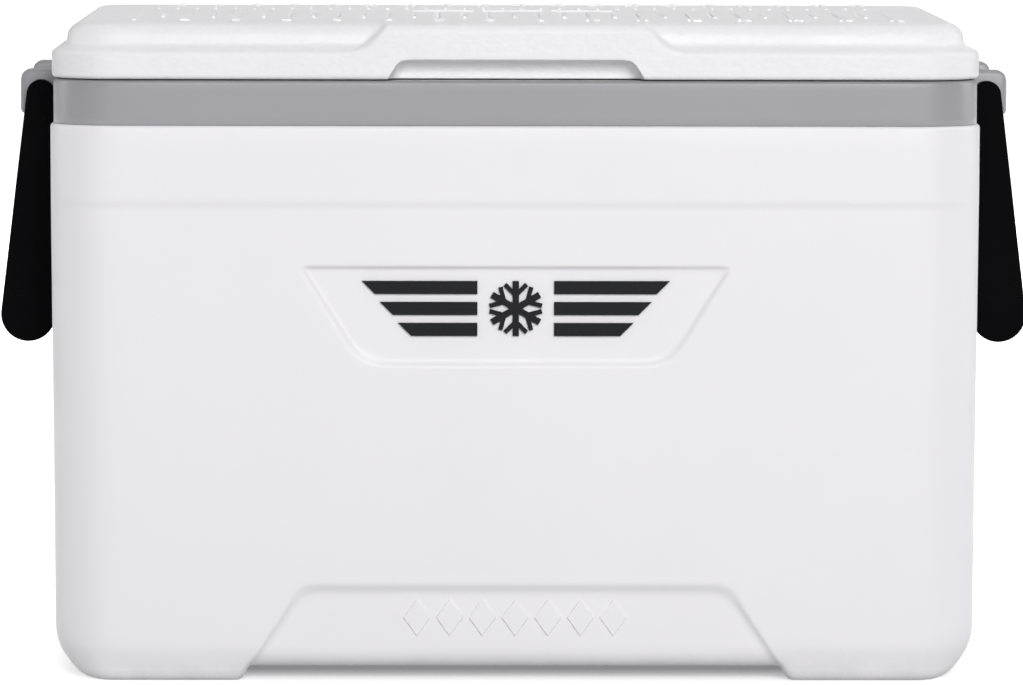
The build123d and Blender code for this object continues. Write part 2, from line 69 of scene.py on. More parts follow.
# ---- Places read from the frame ----
SHELL_LOW, SHELL_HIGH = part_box("outer_shell")
BAND_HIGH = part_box("trim_band")[1]
LID_LOW, LID_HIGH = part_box("lid_shell")
LINER_LOW, LINER_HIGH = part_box("inner_liner")
PLUG_LOW, PLUG_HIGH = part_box("lid_liner")
MID_Y = (SHELL_LOW.y + SHELL_HIGH.y) / 2
SHELL_X = SHELL_HIGH.x
SHELL_Y = (SHELL_HIGH.y - SHELL_LOW.y) / 2
LIP_Z = SHELL_HIGH.z
LID_END_TRIM = 0.0006        # the visible lid's ends stand this far inside the CAD's
LID_X = LID_HIGH.x - LID_END_TRIM
LID_Y = (LID_HIGH.y - LID_LOW.y) / 2
LID_BOTTOM = LID_LOW.z
LID_TOP = LID_HIGH.z
BAND_STEP = 0.0002           # the band's top, above the tub's flange
BAND_TOP = LINER_HIGH.z + BAND_STEP
EAR_TOP = BAND_HIGH.z
CORNER = 0.031               # the shell's corner radius, seen from above
PIVOTS = {j["child"]: Vector(j["pos_m"]) for j in frame["joints"]}


# ---- Number helpers ----
def smooth(t):
    """Soft step from 0 to 1."""
    t = np.clip(t, 0, 1)
    return t * t * (3 - 2 * t)


def soft_max(a, b, blend):
    """The larger of two distances, rounded over where they are nearly equal."""
    near = np.maximum(blend - np.abs(a - b), 0) / blend
    return np.maximum(a, b) + near * near * blend / 4


def graded(low, high, knots, fine, coarse, slope=0.4):
    """Numbers from low to high, close together near the knots."""
    places = np.linspace(low, high, 6001)
    gap = np.full_like(places, coarse)
    for knot in knots:
        gap = np.minimum(gap, fine + slope * np.abs(places - knot))
    steps = np.diff(places) / ((gap[1:] + gap[:-1]) / 2)
    count = np.concatenate([[0], np.cumsum(steps)])
    return np.interp(np.linspace(0, count[-1], math.ceil(count[-1]) + 1), count, places)


def mirrored(lines):
    """Numbers from 0 up, repeated below 0."""
    return np.concatenate([-lines[:0:-1], lines])


def arc(centre, radius, start, end, count):
    """Points (inset, z) on a circular arc between two angles in degrees."""
    angles = np.radians(np.linspace(start, end, count))
    return [(centre[0] + radius * math.cos(a), centre[1] + radius * math.sin(a)) for a in angles]


def resample(points, count):
    """The same number of points along any profile, spaced evenly by length."""
    points = np.array(points, float)
    lengths = np.concatenate([[0], np.cumsum(np.hypot(*np.diff(points, axis=0).T))])
    at = np.linspace(0, lengths[-1], count)
    return np.stack([np.interp(at, lengths, points[:, k]) for k in (0, 1)], axis=1)


# ---- Mesh helpers ----
def add_object(name, mesh):
    piece = bpy.data.objects.new(name, mesh)
    bpy.context.scene.collection.objects.link(piece)
    return piece


def make_piece(name, parts, sharp=35.0):
    """One object from (points, faces) parts, welded where they meet and shaded smooth."""
    points = np.concatenate([np.asarray(p, float) for p, _ in parts])
    faces = []
    start = 0
    for part_points, part_faces in parts:
        faces += [[start + k for k in face] for face in part_faces]
        start += len(part_points)
    mesh = bpy.data.meshes.new(name)
    mesh.from_pydata(points.tolist(), [], faces)
    work = bmesh.new()
    work.from_mesh(mesh)
    bmesh.ops.remove_doubles(work, verts=work.verts, dist=1e-6)
    bmesh.ops.dissolve_degenerate(work, dist=1e-7, edges=work.edges)
    work.to_mesh(mesh)
    work.free()
    finish_mesh(mesh, sharp)
    return add_object(name, mesh)


def finish_mesh(mesh, sharp=35.0):
    mesh.polygons.foreach_set("use_smooth", [True] * len(mesh.polygons))
    mesh.set_sharp_from_angle(angle=math.radians(sharp))
    mesh.update()


def bevel(piece, width, segments=3, angle=30.0):
    """Rounds a piece's sharp edges."""
    edge = piece.modifiers.new("rounded_edges", "BEVEL")
    edge.width = width
    edge.segments = segments
    edge.limit_method = "ANGLE"
    edge.angle_limit = math.radians(angle)
    edge.harden_normals = True


def thicken(piece, thickness):
    """Gives a moulded skin its wall, inward."""
    wall = piece.modifiers.new("wall", "SOLIDIFY")
    wall.thickness = thickness
    wall.offset = -1
    wall.use_even_offset = False


def grid_faces(rows, columns, wrap_rows=False, wrap_columns=False, turned=False):
    """Quads over rows of points. Wrapping joins the last row or column to the first."""
    faces = []
    for i in range(rows if wrap_rows else rows - 1):
        n = (i + 1) % rows
        for j in range(columns if wrap_columns else columns - 1):
            k = (j + 1) % columns
            a, b, c, d = i * columns + j, n * columns + j, n * columns + k, i * columns + k
            faces.append([a, d, c, b] if turned else [a, b, c, d])
    return faces


def prism(outline, low, high, axis):
    """Closed prism: outline points (a, b) lie across the axis, 'y' or 'z'."""
    count = len(outline)
    if axis == "y":
        ends = [[(a, level, b) for a, b in outline] for level in (low, high)]
    else:
        ends = [[(a, b, level) for a, b in outline] for level in (high, low)]
    points = ends[0] + ends[1]
    faces = [list(range(count)), list(range(2 * count - 1, count - 1, -1))]
    for k in range(count):
        n = (k + 1) % count
        faces.append([n, k, count + k, count + n])
    return points, faces


def lathe(profile, centre, sides=56):
    """Surface of revolution about an axis along Y: profile points are (y, radius)."""
    points = []
    for k in range(sides):
        a = 2 * math.pi * k / sides
        for y, radius in profile:
            points.append((centre.x + radius * math.cos(a), y, centre.z + radius * math.sin(a)))
    return points, grid_faces(sides, len(profile), wrap_rows=True, turned=True)


class Ring:
    """Stations round a rounded rectangle, anticlockwise from the left end of the front."""

    def __init__(self, half_x, half_y, radius, front_lines, end_lines, arc_steps=10):
        self.radius = radius
        inner_x = half_x - radius
        inner_y = half_y - radius
        core, out, kind = [], [], []

        def side(points, direction, label):
            for point in points:
                core.append(point)
                out.append(direction)
                kind.append(label)

        def corner(point, start):
            for k in range(1, arc_steps):
                a = math.radians(start + 90 * k / arc_steps)
                side([point], (math.cos(a), math.sin(a)), "corner")

        side([(x, -inner_y) for x in front_lines], (0, -1), "front")
        corner((inner_x, -inner_y), -90)
        side([(inner_x, y) for y in end_lines], (1, 0), "right")
        corner((inner_x, inner_y), 0)
        side([(x, inner_y) for x in front_lines[::-1]], (0, 1), "rear")
        corner((-inner_x, inner_y), 90)
        side([(-inner_x, y) for y in end_lines[::-1]], (-1, 0), "left")
        corner((-inner_x, -inner_y), 180)
        self.core = np.array(core)
        self.out = np.array(out)
        self.kind = np.array(kind)
        self.on_x = np.isin(self.kind, ("front", "rear"))
        self.on_y = np.isin(self.kind, ("left", "right"))

    def facing(self):
        """0 on the front and rear, 1 on the two ends, and turning between them at the corners."""
        return smooth(np.degrees(np.arctan2(np.abs(self.out[:, 0]), np.abs(self.out[:, 1]))) / 90)

    def place(self, inset, z, slant_x=None, slant_y=None):
        """Points (x, y, z) for arrays of inset and height, one row for each station."""
        x = np.repeat(self.core[:, :1], z.shape[1], axis=1)
        y = np.repeat(self.core[:, 1:], z.shape[1], axis=1)
        if slant_x is not None:
            x = np.where(self.on_x[:, None], slant_x(x, z), x)
        if slant_y is not None:
            y = np.where(self.on_y[:, None], slant_y(y, z), y)
        reach = np.maximum(self.radius - inset, 0)
        x = x + self.out[:, :1] * reach
        y = y + MID_Y + self.out[:, 1:] * reach
        return np.stack([x, y, z], axis=2)

    def skin(self, points, closed=False):
        """Faces over the stations' rows of points. closed joins the last column to the first."""
        return points.reshape(-1, 3), grid_faces(*points.shape[:2], True, closed)


def floor_grid(xs, ys, height, faces_up):
    """Grid over the lines xs and ys, with its height from a function of both."""
    x, y = np.meshgrid(xs, ys, indexing="ij")
    points = np.stack([x, y + MID_Y, height(x, y)], axis=2).reshape(-1, 3)
    faces = grid_faces(len(xs), len(ys))
    return points, faces if faces_up else [face[::-1] for face in faces]


def slanted(knots):
    """A shift of grid lines, so that they lie along slanted edges.
    knots are (line's own place, function of z giving where the edge lies)."""

    def shift(x, z):
        side = np.sign(x)
        away = np.abs(x)
        moved = away.copy()
        places = [0.0] + [own for own, _ in knots[:-1]] + [knots[-1][0]]
        for row in range(x.shape[0]):
            for column in range(x.shape[1]):
                level = z[row, column]
                edges = [0.0] + [edge(level) for _, edge in knots]
                moved[row, column] = np.interp(away[row, column], places, edges)
        return side * moved

    return shift


# ---- Materials ----
class Nodes:
    """A material's node tree, with short calls for the nodes used here."""

    def __init__(self, name):
        self.material = bpy.data.materials.new(name)
        self.material.use_nodes = True
        self.tree = self.material.node_tree
        self.shader = self.tree.nodes["Principled BSDF"]
        self.place = self.tree.nodes.new("ShaderNodeTexCoord").outputs["Object"]

    def link(self, source, target):
        self.tree.links.new(source, target)

    def stretched(self, scale):
        mapping = self.tree.nodes.new("ShaderNodeMapping")
        mapping.inputs["Scale"].default_value = scale
        self.link(self.place, mapping.inputs["Vector"])
        return mapping.outputs["Vector"]

    def noise(self, scale, detail=2.0, roughness=0.5, vector=None):
        node = self.tree.nodes.new("ShaderNodeTexNoise")
        node.inputs["Scale"].default_value = scale
        node.inputs["Detail"].default_value = detail
        node.inputs["Roughness"].default_value = roughness
        self.link(vector or self.place, node.inputs["Vector"])
        return node.outputs["Fac"]

    def cells(self, scale, vector=None):
        node = self.tree.nodes.new("ShaderNodeTexVoronoi")
        node.feature = "SMOOTH_F1"
        node.inputs["Scale"].default_value = scale
        self.link(vector or self.place, node.inputs["Vector"])
        return node.outputs["Distance"]

    def height(self):
        """The object coordinate Z."""
        split = self.tree.nodes.new("ShaderNodeSeparateXYZ")
        self.link(self.place, split.inputs["Vector"])
        return split.outputs["Z"]

    def remap(self, source, low, high, to_low, to_high):
        node = self.tree.nodes.new("ShaderNodeMapRange")
        self.link(source, node.inputs["Value"])
        ends = {"From Min": low, "From Max": high, "To Min": to_low, "To Max": to_high}
        for name, value in ends.items():
            node.inputs[name].default_value = value
        return node.outputs["Result"]

    def math(self, operation, a, b=0.0):
        node = self.tree.nodes.new("ShaderNodeMath")
        node.operation = operation
        for socket, value in zip(node.inputs, (a, b)):
            if isinstance(value, (int, float)):
                socket.default_value = value
            else:
                self.link(value, socket)
        return node.outputs["Value"]

    def blend(self, factor, low, high):
        """Colour between two colours or colour outputs."""
        node = self.tree.nodes.new("ShaderNodeMix")
        node.data_type = "RGBA"
        self.link(factor, node.inputs["Factor"])
        sockets = [s for s in node.inputs if s.type == "RGBA"]
        for socket, value in zip(sockets, (low, high)):
            if isinstance(value, tuple):
                socket.default_value = (*value, 1.0)
            else:
                self.link(value, socket)
        return [s for s in node.outputs if s.type == "RGBA"][0]

    def bump(self, height, distance, strength=1.0, under=None):
        node = self.tree.nodes.new("ShaderNodeBump")
        node.inputs["Distance"].default_value = distance
        node.inputs["Strength"].default_value = strength
        self.link(height, node.inputs["Height"])
        if under is not None:
            self.link(under, node.inputs["Normal"])
        return node.outputs["Normal"]


def scaled(colour, factor):
    return tuple(c * factor for c in colour)


NOISE_SPAN = (0.3, 0.7)      # the part of a noise texture's range that most of it lies in
SCUFF_STRETCH = (1.0, 1.0, 7.0)  # scuffs run level round the object
SCUFF_ROUGHNESS = 0.07
DUST_SHADE = 0.72            # the dusty foot's colour, against clean plastic
DUST_SHARE = 0.55            # how much of that colour shows at the very bottom
COAT_ROUGHNESS = 0.25


def moulded(name, colour, roughness, grain_scale, grain_depth, mottle=0.03,
            dust_height=0.0, coat=0.0, shine=0.5):
    """Moulded plastic: faint flow mottling, fine grain, handling scuffs and a dusty foot."""
    n = Nodes(name)
    flow = n.remap(n.noise(9.0, 3.0), *NOISE_SPAN, 0, 1)
    tint = n.blend(flow, scaled(colour, 1 - mottle), scaled(colour, 1 + mottle / 2))
    scuffs = n.remap(n.noise(75.0, 3.0, 0.55, n.stretched(SCUFF_STRETCH)), 0.5, 0.85, 0, 1)
    if dust_height:
        dusty = n.remap(n.height(), 0.0, dust_height, DUST_SHARE, 0.0)
        patchy = n.math("MULTIPLY", dusty, n.remap(n.noise(45.0, 5.0, 0.65), 0.4, 0.75, 0, 1))
        tint = n.blend(patchy, tint, scaled(colour, DUST_SHADE))
    n.link(tint, n.shader.inputs["Base Color"])
    uneven = n.remap(n.noise(28.0, 4.0), *NOISE_SPAN, roughness - 0.05, roughness + 0.05)
    rough = n.math("ADD", uneven, n.math("MULTIPLY", scuffs, SCUFF_ROUGHNESS))
    n.link(rough, n.shader.inputs["Roughness"])
    normal = n.bump(n.noise(grain_scale, 2.0, 0.6), grain_depth)
    normal = n.bump(n.noise(70.0, 2.0), grain_depth * 3, 0.35, normal)
    normal = n.bump(scuffs, 0.00001, 0.4, normal)
    n.link(normal, n.shader.inputs["Normal"])
    n.shader.inputs["Coat Weight"].default_value = coat
    n.shader.inputs["Coat Roughness"].default_value = COAT_ROUGHNESS
    n.shader.inputs["Specular IOR Level"].default_value = shine
    return n.material


def pebbled(name, colour, roughness):
    """Lid plastic with a pebble grain: rounded lumps with winding creases between them, and painted
    shade that darkens the creases.
    """
    n = Nodes(name)
    drawn_out = (0.62, 0.62, 1.0)
    lumps = n.cells(560.0, n.stretched(drawn_out))
    creases = n.noise(310.0, 3.0, 0.55, n.stretched(drawn_out))
    flow = n.remap(n.noise(10.0, 3.0), *NOISE_SPAN, 0, 1)
    tint = n.blend(flow, scaled(colour, 0.985), scaled(colour, 1.01))
    # painted shade: the colour darkens towards the cell edges, in the creases between the lumps
    hollow = n.remap(lumps, 0.25, 0.75, 0.0, 0.2)
    tint = n.blend(hollow, tint, scaled(colour, 0.88))
    n.link(tint, n.shader.inputs["Base Color"])
    rough = n.remap(n.noise(35.0, 4.0), *NOISE_SPAN, roughness - 0.06, roughness + 0.06)
    n.link(rough, n.shader.inputs["Roughness"])
    normal = n.bump(n.remap(lumps, 0.0, 0.8, 1.0, 0.0), 0.00016, 0.6)
    normal = n.bump(creases, 0.0004, 0.7, normal)
    n.link(normal, n.shader.inputs["Normal"])
    return n.material


def brushed(name, colour, roughness):
    """Turned stainless steel with fine drawn lines."""
    n = Nodes(name)
    lines = n.noise(400.0, 3.0, 0.6, n.stretched((1.0, 12.0, 12.0)))
    n.link(n.blend(lines, scaled(colour, 0.85), colour), n.shader.inputs["Base Color"])
    rough = n.remap(lines, *NOISE_SPAN, roughness - 0.07, roughness + 0.1)
    n.link(rough, n.shader.inputs["Roughness"])
    n.link(n.bump(lines, 0.00004, 0.5), n.shader.inputs["Normal"])
    n.shader.inputs["Metallic"].default_value = 1.0
    return n.material


WHITE = (0.825, 0.812, 0.842)
GREY = (0.312, 0.307, 0.331)
LID_COLOUR = (0.83, 0.825, 0.84)
LINER_COLOUR = (0.84, 0.84, 0.845)
BADGE_COLOUR = (0.0055, 0.006, 0.0078)
HANDLE_COLOUR = (0.0016, 0.0017, 0.0022)
GRIP_COLOUR = (0.0026, 0.0026, 0.0030)
PIN_COLOUR = (0.28, 0.28, 0.29)
STEEL_COLOUR = (0.62, 0.61, 0.6)
DUST_HEIGHT = 0.018          # the shell's dusty foot reaches this high
SHELL_WHITE = moulded("shell_white_plastic", WHITE, 0.42, 2600.0, 0.00003, 0.012, DUST_HEIGHT)
LID_WHITE = pebbled("lid_white_plastic", LID_COLOUR, 0.5)
LINER_WHITE = moulded("liner_white_plastic", LINER_COLOUR, 0.3, 1800.0, 0.00002, 0.01, coat=0.2)
BAND_GREY = moulded("band_grey_plastic", GREY, 0.36, 2200.0, 0.00002, 0.025)
HINGE_GREY = moulded("hinge_grey_plastic", scaled(GREY, 0.95), 0.42, 2400.0, 0.00004, 0.03)
BADGE_BLACK = moulded("badge_black_plastic", BADGE_COLOUR, 0.35, 2400.0, 0.00003, 0.2, shine=0.12)
HANDLE_BLACK = moulded("handle_black_plastic", HANDLE_COLOUR, 0.5, 1700.0, 0.00006, 0.25, shine=0.02)
GRIP_BLACK = moulded("grip_black_rubber", GRIP_COLOUR, 0.6, 1300.0, 0.00012, 0.25, shine=0.06)
PIN_GREY = moulded("pin_grey_nylon", PIN_COLOUR, 0.4, 2000.0, 0.00003, 0.05)
STEEL = brushed("screw_steel", STEEL_COLOUR, 0.3)


def paint(piece, material):
    piece.data.materials.clear()
    piece.data.materials.append(material)


def dress(piece, material, body, slot, *replaced):
    """Gives a piece its material and the body it moves with, and hides the nodes it stands for. The
    slot argument is not used.
    """
    paint(piece, material)
    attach(piece, body)
    if replaced:
        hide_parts(*replaced)


# ---- Outer shell ----
STEP_Z = 0.238
STEP_HEIGHT = 0.0046
STEP_PROUD = 0.0009          # along the front and rear; it fades out round the corners
BELT_DRAFT = 0.0001
FLOOR_INSET = 0.0019         # the wall's foot, in from the lip
LIP_RADIUS = 0.0020
END_RADIUS = 0.026           # floor edge at the ends: a large curve, a short flat and a small curve
END_FOOT_RADIUS = 0.004
END_FOOT = 0.0169
FOOT_HEIGHT = 0.0070
ARCH_TOP = 0.0498
ARCH_DEPTH = 0.0025
ARCH_FRONT = (0.1055, 0.137)  # half-width at the panel's top and at the floor
ARCH_END = (0.055, 0.076)
ARCH_EDGE = (0.0036, 0.0064)  # width of the panel's soft edge, at its sides and along its top
FOOT_SIDE = 0.0075           # width of a foot's steep inner side
ARCH_ROLL = 0.009            # radius where the panel turns under the base
BADGE_Z = (0.1574, 0.2074)
BADGE_HALF = (0.076, 0.106)
BADGE_SINK = 0.00005         # the badge's back is let this far into the floor of its recess
BADGE_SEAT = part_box("front_badge")[1].y - SHELL_LOW.y - BADGE_SINK
BOTTOM_ROWS = 22
WALL_START = 0.0285          # where the plain wall takes over from the floor edge's curves
SHELL_WALL = 0.0028


def trapezoid(across, z, low, high, half_low, half_high, round_low, round_high):
    """Distance outside a trapezoid that is symmetric about the middle, with softened corners."""
    slope = (half_high - half_low) / (high - low)
    half = half_low + slope * (z - low)
    beside = (np.abs(across) - half) / math.hypot(1, slope)
    outside = soft_max(beside, low - z, round_low)
    return soft_max(outside, z - high, round_high)


def wall_inset(z, front=1.0):
    """How far the wall stands in from the lip. front is 1 where the step shows, 0 at the ends."""
    belt = BELT_DRAFT * np.clip((LIP_Z - z) / (LIP_Z - STEP_Z), 0, 1)
    step = STEP_PROUD * front
    below = np.clip((STEP_Z - z) / STEP_Z, 0, 1)
    fall = 1 - smooth((z - STEP_Z + STEP_HEIGHT / 2) / STEP_HEIGHT)
    return belt + step * fall + (FLOOR_INSET - BELT_DRAFT - step) * below


def foot_weight(across, halves):
    """0 under an arch and 1 on a foot: a steep inner side that rounds out onto the floor."""
    edge = halves[1] - (halves[1] - halves[0]) * FOOT_HEIGHT / ARCH_TOP
    climb = np.clip((np.abs(across) - edge) / FOOT_SIDE, 0, 1)
    return 1 - (1 - climb) ** 3


def bottom_curves():
    """Profiles (inset, z) of the floor edge, from the base out and up to the wall."""
    top = WALL_START
    end = (
        [(CORNER, 0.0)]
        + arc((END_FOOT, END_FOOT_RADIUS), END_FOOT_RADIUS, -90, -134, 7)
        + arc((END_RADIUS, END_RADIUS), END_RADIUS, -136, -180, 14)
        + [(0, top)]
    )
    front = (
        [(CORNER, 0.0)]
        + arc((0.0078, 0.0045), 0.0045, -90, -165, 10)
        + arc((0.0240, 0.0200), 0.0240, -166, -180, 6)
        + [(0, top)]
    )
    roll = FOOT_HEIGHT + ARCH_ROLL
    arch = [(CORNER, FOOT_HEIGHT)] + arc((ARCH_ROLL, roll), ARCH_ROLL, -90, -180, 10) + [(0, top)]
    return [resample(points, BOTTOM_ROWS) for points in (end, front, arch)]


def shell_lines():
    """Grid lines across the front and the ends, close together at each moulded edge."""
    reach_x = SHELL_X - CORNER
    reach_y = SHELL_Y - CORNER
    front = graded(0, reach_x, [sum(BADGE_HALF) / 2, sum(ARCH_FRONT) / 2], 0.0007, 0.009, 0.3)
    end = graded(0, reach_y, [sum(ARCH_END) / 2], 0.0009, 0.01, 0.3)
    return mirrored(front), mirrored(end)


def edge_line(low, high, half_low, half_high):
    """Where a slanted edge lies at height z."""
    return lambda z: float(np.interp(z, (low, high), (half_low, half_high)))


def make_shell():
    front_lines, end_lines = shell_lines()
    ring = Ring(SHELL_X, SHELL_Y, CORNER, front_lines, end_lines)
    slant_x = slanted(
        [
            (sum(BADGE_HALF) / 2, edge_line(*BADGE_Z, *BADGE_HALF)),
            (sum(ARCH_FRONT) / 2, arch_line(ARCH_FRONT)),
            (SHELL_X - CORNER, lambda z: SHELL_X - CORNER),
        ]
    )
    slant_y = slanted(
        [
            (sum(ARCH_END) / 2, arch_line(ARCH_END)),
            (SHELL_Y - CORNER, lambda z: SHELL_Y - CORNER),
        ]
    )
    knots = [ARCH_TOP - 0.002, BADGE_Z[0], BADGE_Z[1], STEP_Z]
    wall_z = graded(WALL_START, LIP_Z - LIP_RADIUS, knots, 0.00055, 0.009, 0.3)[1:]
    lip = arc((LIP_RADIUS, LIP_Z - LIP_RADIUS), LIP_RADIUS, 180, 90, 6)[1:] + [(0.0055, LIP_Z)]
    end, front, arch = bottom_curves()
    facing = ring.facing()[:, None]
    along = np.where(ring.on_x, ring.core[:, 0], ring.core[:, 1])
    on_foot = np.ones(len(along))
    on_foot[ring.on_x] = foot_weight(front_places(ring, slant_x)[ring.on_x], ARCH_FRONT)
    on_foot[ring.on_y] = foot_weight(front_places(ring, slant_y, True)[ring.on_y], ARCH_END)
    on_foot = on_foot[:, None]
    curves = []
    for k in (0, 1):
        foot = front[None, :, k] * (1 - facing) + end[None, :, k] * facing
        curves.append(foot * on_foot + arch[None, :, k] * (1 - on_foot))
    above = [(0.0, level) for level in wall_z] + lip
    rows = (len(along), 1)
    inset, z = [np.hstack([curves[k], np.tile([p[k] for p in above], rows)]) for k in (0, 1)]
    on_wall = 1 - np.clip(inset / CORNER, 0, 1)
    spot = ring.place(inset, z, slant_x, slant_y)
    x = spot[:, :, 0]
    y = spot[:, :, 1] - MID_Y
    inset = inset + wall_inset(z, 1 - facing) * on_wall
    inset += panel_depth(ring, x, y, z) * np.where(inset < 0.02, on_wall, 0)
    skin = ring.skin(ring.place(inset, z, slant_x, slant_y))
    xs = front_places(ring, slant_x)[ring.kind == "front"]
    ys = front_places(ring, slant_y, True)[ring.kind == "right"]

    def base(x, y):
        foot = foot_weight(x, ARCH_FRONT) * foot_weight(y, ARCH_END)
        return FOOT_HEIGHT * (1 - foot)

    shell = make_piece("shell", [skin, floor_grid(xs, ys, base, False)], 50.0)
    thicken(shell, SHELL_WALL)
    dress(shell, SHELL_WHITE, "cooler_body", "shell_white", "outer_shell")
    return shell


def arch_line(halves):
    """Where an arch's slanted edge lies at height z; above the panel it swings back."""
    low = halves[1] - (halves[1] - halves[0]) * FOOT_HEIGHT / ARCH_TOP
    return lambda z: float(np.interp(z, (FOOT_HEIGHT, ARCH_TOP, BADGE_Z[0]), (low, halves[0], low)))


def front_places(ring, slant, ends=False):
    """The stations' places along their side at floor level."""
    along = ring.core[:, 1:] if ends else ring.core[:, :1]
    return slant(along, np.zeros_like(along))[:, 0]


def panel_depth(ring, x, y, z):
    """Depth of the recessed panels over the arches and of the badge's recess."""

    def recess(distance, width, depth):
        return depth * (1 - smooth(distance / width + 0.5))

    front, end = (x, ARCH_FRONT), (y, ARCH_END)
    sides = {"front": front, "rear": front, "left": end, "right": end}
    depth = np.zeros_like(z)
    for kind, (place, halves) in sides.items():
        top = ARCH_TOP - ARCH_EDGE[1] / 2
        distance = trapezoid(place, z, 0.0, top, halves[1], halves[0], 0.002, 0.006)
        edge = np.interp(z, (ARCH_TOP - 0.016, ARCH_TOP - 0.006), ARCH_EDGE)
        here = (ring.kind == kind)[:, None]
        depth = np.where(here, recess(distance, edge, ARCH_DEPTH), depth)
    middle = (BADGE_Z[0] + 0.0015, BADGE_Z[1] - 0.0006)
    distance = trapezoid(x, z, *middle, *BADGE_HALF, 0.011, 0.004)
    width = np.interp(z, (BADGE_Z[0] + 0.01, BADGE_Z[1] - 0.006), (0.0036, 0.0024))
    badge = recess(distance, width, BADGE_SEAT - wall_inset(z))
    return np.where((ring.kind == "front")[:, None], np.maximum(depth, badge), depth)


make_shell()


# ---- Raised emblem on the front panel ----
EMBLEM_COUNT = 7
EMBLEM_LENGTH = 0.114
EMBLEM_HEIGHT = 0.019
EMBLEM_Z = 0.032
EMBLEM_PROUD = 0.0009


def make_emblem():
    floor = SHELL_LOW.y + float(wall_inset(EMBLEM_Z)) + ARCH_DEPTH
    pitch = EMBLEM_LENGTH / EMBLEM_COUNT
    half_x = pitch * 0.42
    half_z = EMBLEM_HEIGHT / 2
    parts = []
    for index in range(EMBLEM_COUNT):
        x = (index - (EMBLEM_COUNT - 1) / 2) * pitch
        outline = [
            (x - half_x, EMBLEM_Z),
            (x, EMBLEM_Z - half_z),
            (x + half_x, EMBLEM_Z),
            (x, EMBLEM_Z + half_z),
        ]
        parts.append(prism(outline, floor - EMBLEM_PROUD, floor + 0.001, "y"))
    emblem = make_piece("panel_emblem", parts)
    bevel(emblem, 0.0006, 4)
    dress(emblem, SHELL_WHITE, "cooler_body", "shell_white")


make_emblem()


# ---- Trim band and ears ----
BAND_INSET = 0.0016
BAND_WALL = 0.0030
BAND_EDGE = 0.0020
EAR_Y = (0.044, 0.056)
EAR_BOTTOM = 0.2785
EAR_CREST = 0.2326           # outside this the ear rises above the band
EAR_FLARE = 0.0035
EAR_CORNER = 0.0054
EAR_EDGE = 0.0023
EAR_ROOT = 0.0012            # the ear starts this far inside the band's face


def make_band():
    front_lines = mirrored(np.linspace(0, SHELL_X - CORNER, 9))
    end_lines = mirrored(np.linspace(0, SHELL_Y - CORNER, 7))
    ring = Ring(SHELL_X, SHELL_Y, CORNER, front_lines, end_lines, 12)
    low = LIP_Z
    high = BAND_TOP
    face = BAND_INSET
    inner = BAND_INSET + BAND_WALL
    profile = [(inner, low), (face + 0.0007, low)]
    profile += [(face + 0.0002, low + 0.0002), (face, low + 0.0007)]
    profile += [(face, z) for z in np.linspace(low + 0.004, high - BAND_EDGE - 0.003, 4)]
    profile += arc((face + BAND_EDGE, high - BAND_EDGE), BAND_EDGE, 180, 90, 7)
    profile += [(inner, high)]
    inset, z = [np.tile([p[k] for p in profile], (len(ring.kind), 1)) for k in (0, 1)]
    band = make_piece("band", [ring.skin(ring.place(inset, z), closed=True)])
    dress(band, BAND_GREY, "cooler_body", "band_grey", "trim_band")
    for side, side_name in ((-1, "left"), (1, "right")):
        for end, end_name in ((-1, "front"), (1, "rear")):
            make_ear(f"ear_{side_name}_{end_name}", side, end)


def rounded(low_y, high_y, low_z, high_z, radius, steps=5):
    """Points round a rectangle in Y and Z with rounded corners, anticlockwise."""
    outline = []
    corners = (
        (high_y - radius, low_z + radius, -90),
        (high_y - radius, high_z - radius, 0),
        (low_y + radius, high_z - radius, 90),
        (low_y + radius, low_z + radius, 180),
    )
    for y, z, start in corners:
        for k in range(steps):
            a = math.radians(start + 90 * k / (steps - 1))
            outline.append((y + radius * math.cos(a), z + radius * math.sin(a)))
    return outline


def quarter(distance, radius):
    """Fall of a rounded edge at a distance past its start."""
    past = min(max(distance, 0.0), radius)
    return radius - math.sqrt(radius**2 - past**2)


def make_ear(name, side, end):
    """A handle ear: it flares out of the band and has a hood-shaped, heavily rounded crown."""
    band_face = SHELL_X - BAND_INSET
    reach = BAND_HIGH.x
    stations = [band_face - EAR_ROOT, band_face]
    stations += [band_face + EAR_FLARE * t for t in (0.08, 0.2, 0.38, 0.6, 0.66)]
    stations += [EAR_CREST + 0.0003]
    stations += list(np.linspace(EAR_CREST + 0.0016, reach - EAR_CORNER, 5))
    stations += [reach - EAR_CORNER * math.cos(math.radians(a)) for a in np.linspace(12, 90, 14)]
    rows = []
    for x in stations:
        flare = quarter(EAR_FLARE - max(0.0, x - band_face), EAR_FLARE)
        top = EAR_TOP if x > EAR_CREST else BAND_TOP - BAND_STEP
        top -= quarter(x - (reach - EAR_CORNER), EAR_CORNER)
        close = quarter(x - (reach - EAR_EDGE), EAR_EDGE)
        low_y = EAR_Y[0] - flare + close
        high_y = EAR_Y[1] + flare - close
        low_z = EAR_BOTTOM - flare * 0.4 + close
        radius = max(EAR_EDGE - close, 0.00008)
        outline = rounded(low_y, high_y, low_z, top, radius)
        rows.append([(side * x, MID_Y + end * y, z) for y, z in outline])
    count = len(rows[0])
    points = [point for row in rows for point in row]
    faces = grid_faces(len(rows), count, wrap_columns=True)
    faces.append(list(range((len(rows) - 1) * count, len(rows) * count)))
    faces.append(list(range(count))[::-1])
    if side * end < 0:
        faces = [face[::-1] for face in faces]
    ear = make_piece(name, [(points, faces)], 45.0)
    dress(ear, BAND_GREY, "cooler_body", "band_grey")


make_band()


